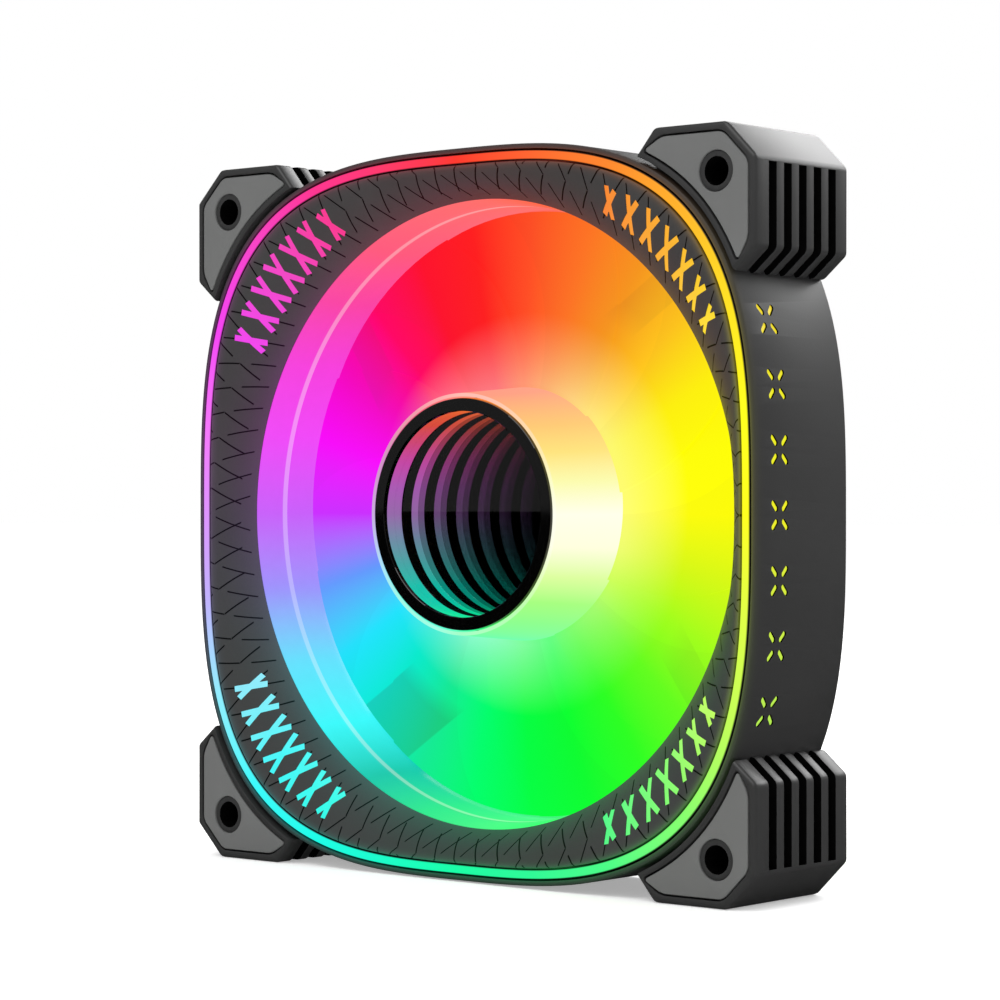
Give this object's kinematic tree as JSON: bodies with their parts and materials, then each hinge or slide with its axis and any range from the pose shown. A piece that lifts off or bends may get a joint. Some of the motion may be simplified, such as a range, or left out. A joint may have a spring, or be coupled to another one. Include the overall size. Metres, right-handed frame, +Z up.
{
  "type": "case fan",
  "caption": "Square computer case fan with a lit rounded-square front ring, frosted impeller, mirrored hub and slotted corner blocks.",
  "frame": {"origin": "on the impeller's spin axis, at the middle of the frame's depth, which is the centre of its bounding box", "axes": "+Y along the airflow, out of the back of the fan, so the lit intake face looks along -Y; +Z up; +X to the right seen from the front"},
  "size_m": [0.12, 0.025, 0.12],
  "materials": {
    "frame_plastic": "fine satin moulded ABS, dark charcoal",
    "bezel_plastic": "fine satin moulded ABS with engraved hatching",
    "rubber": "matt grey anti-vibration rubber",
    "light_ring": "frosted light guide, lit in a rainbow",
    "window_diffuser": "frosted diffuser, lit",
    "duct_diffuser": "frosted duct wall, lit",
    "impeller_plastic": "frosted translucent polycarbonate, lit from the duct",
    "hub_light": "frosted ring of the mirrored hub, lit",
    "black_gloss": "polished black",
    "half_mirror": "half-silvered smoked disc",
    "mirror": "silvered disc",
    "circuit_board": "green solder mask",
    "led": "white LED package",
    "steel": "plain steel",
    "brass": "turned brass",
    "copper": "enamelled copper wire",
    "magnet": "bonded ferrite magnet",
    "label": "blank foil label"
  },
  "bodies": {
    "housing": {"frame": "frame_plastic", "front_bezel": "bezel_plastic", "light_ring": "light_ring", "duct_diffuser": "duct_diffuser", "led_board": "circuit_board", "motor_board": "circuit_board", "stator_core": "steel", "bearing_tube": "brass", "sleeve_bearing": "brass", "thrust_cap": "black_gloss", "rear_label": "label", "lead_grommet": "rubber", "front_pad_top_right": "rubber", "rear_pad_top_right": "rubber", "window_diffuser_top_right": "window_diffuser", "front_pad_top_left": "rubber", "rear_pad_top_left": "rubber", "window_diffuser_top_left": "window_diffuser", "front_pad_bottom_left": "rubber", "rear_pad_bottom_left": "rubber", "window_diffuser_bottom_left": "window_diffuser", "front_pad_bottom_right": "rubber", "rear_pad_bottom_right": "rubber", "window_diffuser_bottom_right": "window_diffuser", "led_1": "led", "led_2": "led", "led_3": "led", "led_4": "led", "led_5": "led", "led_6": "led", "led_7": "led", "led_8": "led", "coil_1": "copper", "coil_2": "copper", "coil_3": "copper", "coil_4": "copper"},
    "rotor": {"impeller": "impeller_plastic", "hub_ring": "black_gloss", "hub_lens": "half_mirror", "hub_light_ring": "hub_light", "hub_spacer": "black_gloss", "hub_mirror": "mirror", "rotor_yoke": "steel", "ring_magnet": "magnet", "shaft": "steel", "retaining_clip": "steel"}
  },
  "joints": [
    {"name": "impeller_spin", "type": "hinge", "parent": "housing", "child": "rotor", "pos_m": [0, 0, 0], "axis": [0, -1, 0], "continuous": true}
  ]
}
